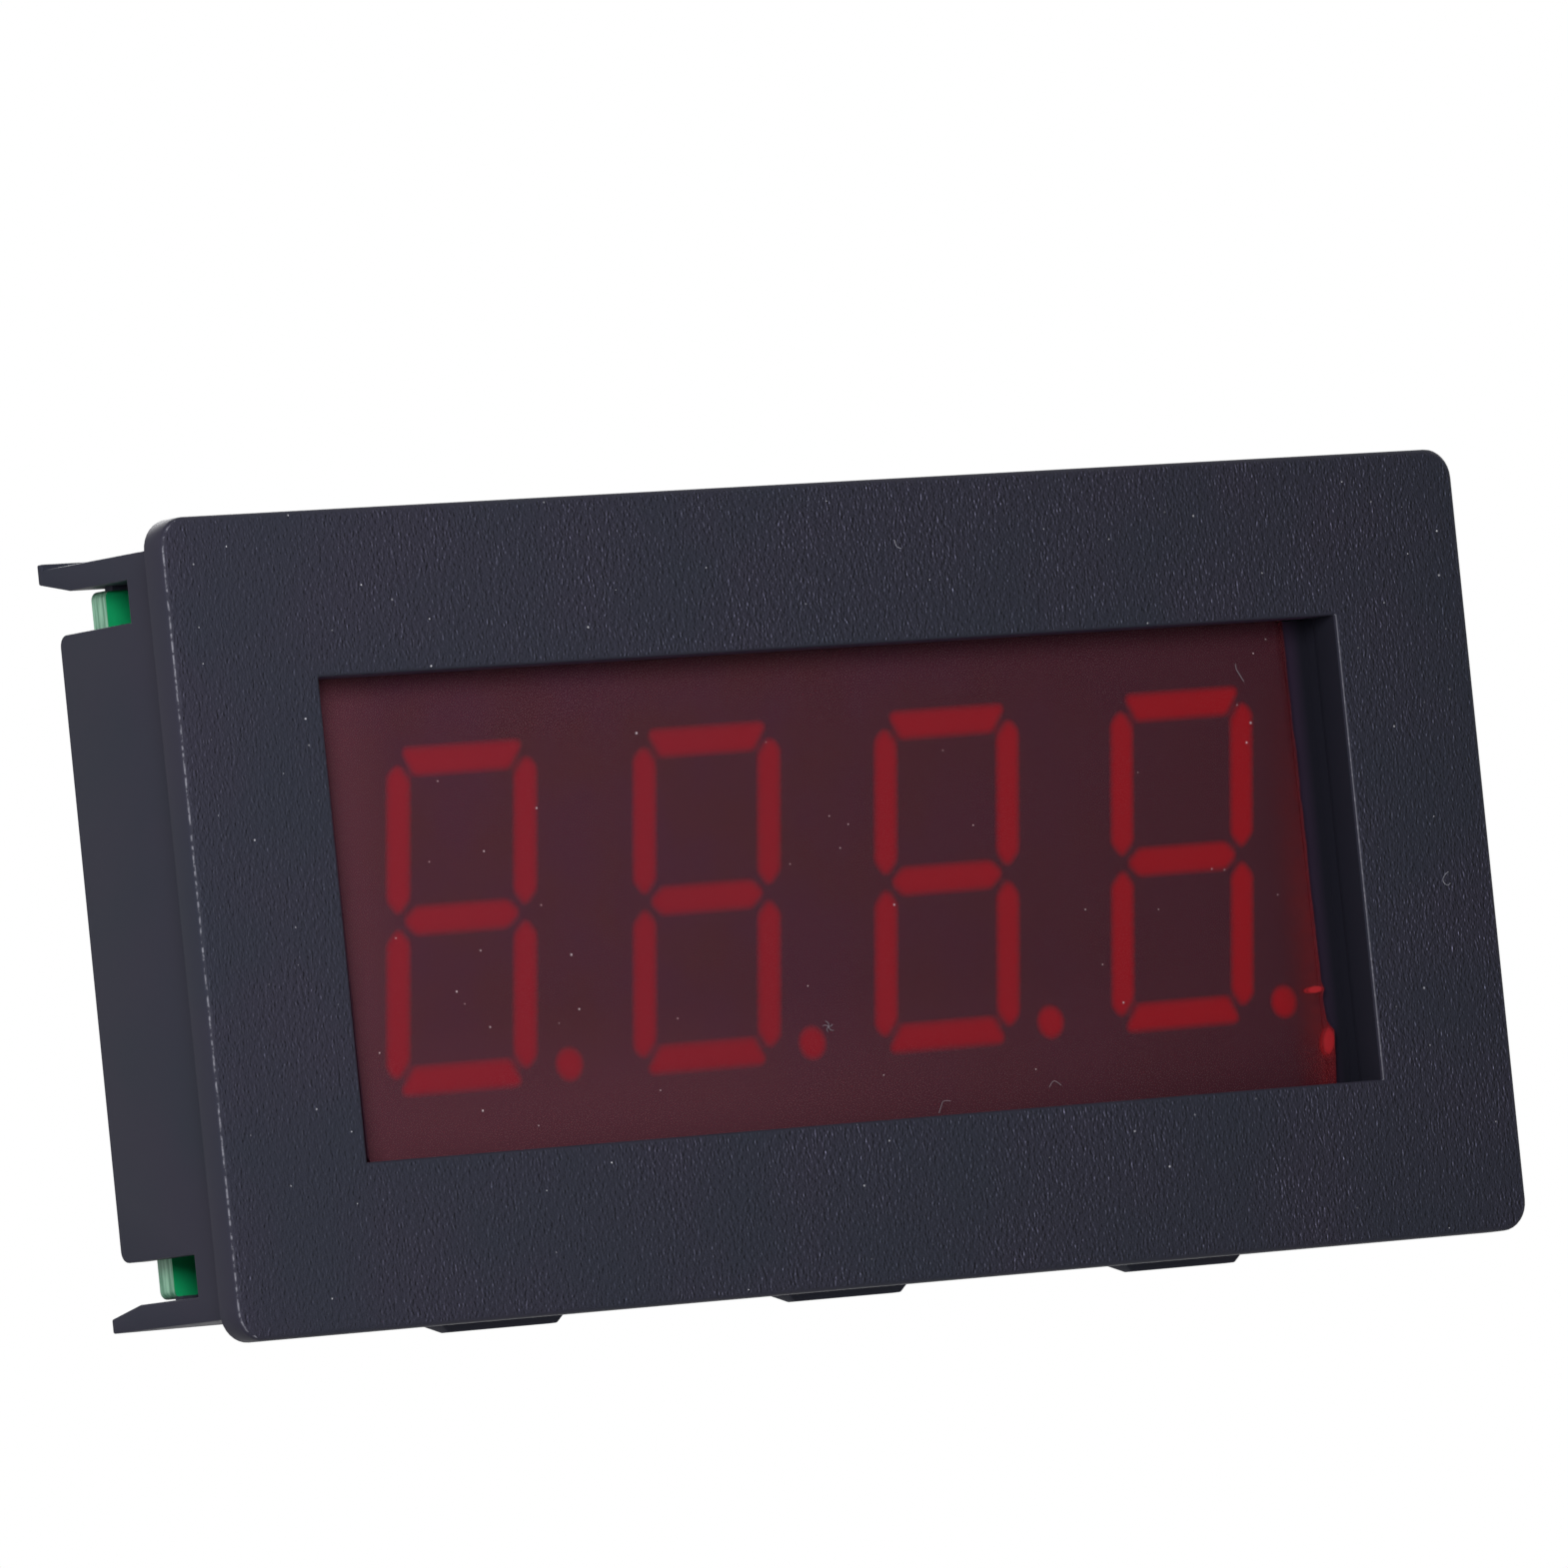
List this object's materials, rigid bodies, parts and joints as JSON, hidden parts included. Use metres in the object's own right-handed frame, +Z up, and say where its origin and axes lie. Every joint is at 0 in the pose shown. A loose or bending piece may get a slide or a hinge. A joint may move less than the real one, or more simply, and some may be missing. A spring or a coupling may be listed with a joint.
{
  "type": "seven segment display module",
  "caption": "Seven segment display module in a snap-in rectangular panel case, with a red film over its digits and a circuit board behind them.",
  "frame": {"origin": "centre of the panel cut-out, in the plane of the bezel's rear face", "axes": "+X to the viewer's right along the bezel, +Y into the panel, +Z up; the digits face -Y"},
  "size_m": [0.096, 0.0217, 0.0488],
  "materials": {
    "black_abs": "moulded, fine spark texture on the front",
    "red_film": "matt red film",
    "digit_face": "dark printed face",
    "segment_resin": "cast diffusing resin",
    "substrate": "bare laminate",
    "tinned_metal": "bright tin",
    "die": "bare die",
    "green_board": "green solder mask",
    "solder": "reflowed solder",
    "screw_steel": "zinc plated",
    "chip_epoxy": "moulded epoxy",
    "can_metal": "drawn metal can",
    "ceramic": "fired ceramic",
    "resistor_black": "glazed chip",
    "gold_plate": "thin gold plate",
    "white_nylon": "natural nylon"
  },
  "bodies": {
    "root": {"case": "black_abs", "red_film": "red_film", "digit_1_housing": "digit_face", "digit_2_housing": "digit_face", "digit_3_housing": "digit_face", "digit_4_housing": "digit_face", "digit_1_segments": "segment_resin", "digit_2_segments": "segment_resin", "digit_3_segments": "segment_resin", "digit_4_segments": "segment_resin", "digit_1_substrate": "substrate", "digit_2_substrate": "substrate", "digit_3_substrate": "substrate", "digit_4_substrate": "substrate", "digit_1_pins": "tinned_metal", "digit_2_pins": "tinned_metal", "digit_3_pins": "tinned_metal", "digit_4_pins": "tinned_metal", "led_dice": "die", "main_board": "green_board", "display_solder": "solder", "board_screws": "screw_steel", "controller_chip": "chip_epoxy", "controller_legs": "tinned_metal", "driver_chip": "chip_epoxy", "driver_legs": "tinned_metal", "regulator_body": "chip_epoxy", "regulator_legs": "tinned_metal", "diode": "chip_epoxy", "crystal": "can_metal", "capacitor_bases": "chip_epoxy", "capacitor_cans": "can_metal", "ceramic_capacitors": "ceramic", "resistors": "resistor_black", "transistor_bodies": "chip_epoxy", "transistor_legs": "tinned_metal", "signal_header_base": "chip_epoxy", "signal_header_pins": "gold_plate", "power_header_base": "white_nylon", "power_header_pins": "tinned_metal", "header_solder": "solder"}
  },
  "joints": []
}
